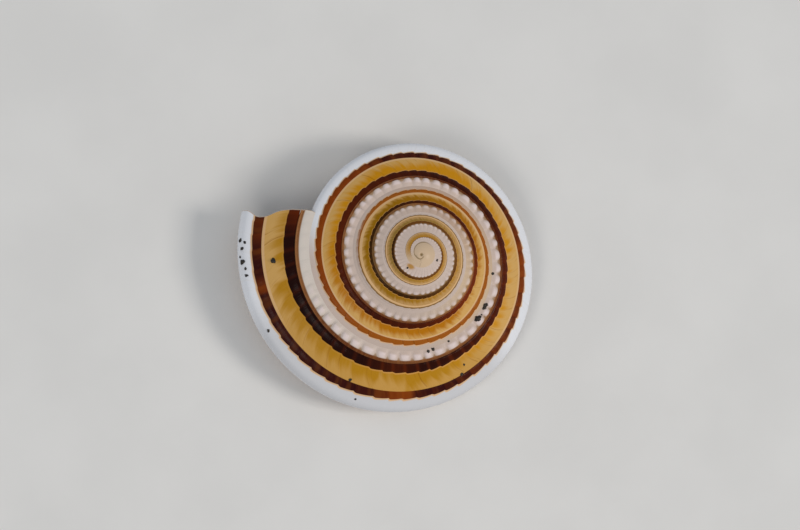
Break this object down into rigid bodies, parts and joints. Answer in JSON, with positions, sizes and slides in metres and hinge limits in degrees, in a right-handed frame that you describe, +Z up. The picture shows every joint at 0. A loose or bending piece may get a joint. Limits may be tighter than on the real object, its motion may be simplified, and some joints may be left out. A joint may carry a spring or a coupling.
{
  "type": "sundial shell",
  "caption": "Low conical sea snail shell, coiled to the right, with a beaded white cord under the suture, brown and amber spiral bands, a white keel and an open umbilicus.",
  "frame": {"origin": "middle of the bounding box, on the level surface that the shell lies on", "axes": "+Z up as the shell lies on its base, +X away from the lip across the greatest width, +Y across the width, towards the side that the lip opens to"},
  "size_m": [0.018, 0.0162, 0.007],
  "materials": {
    "shell": "satin"
  },
  "bodies": {
    "root": {"shell": "shell"}
  },
  "joints": []
}
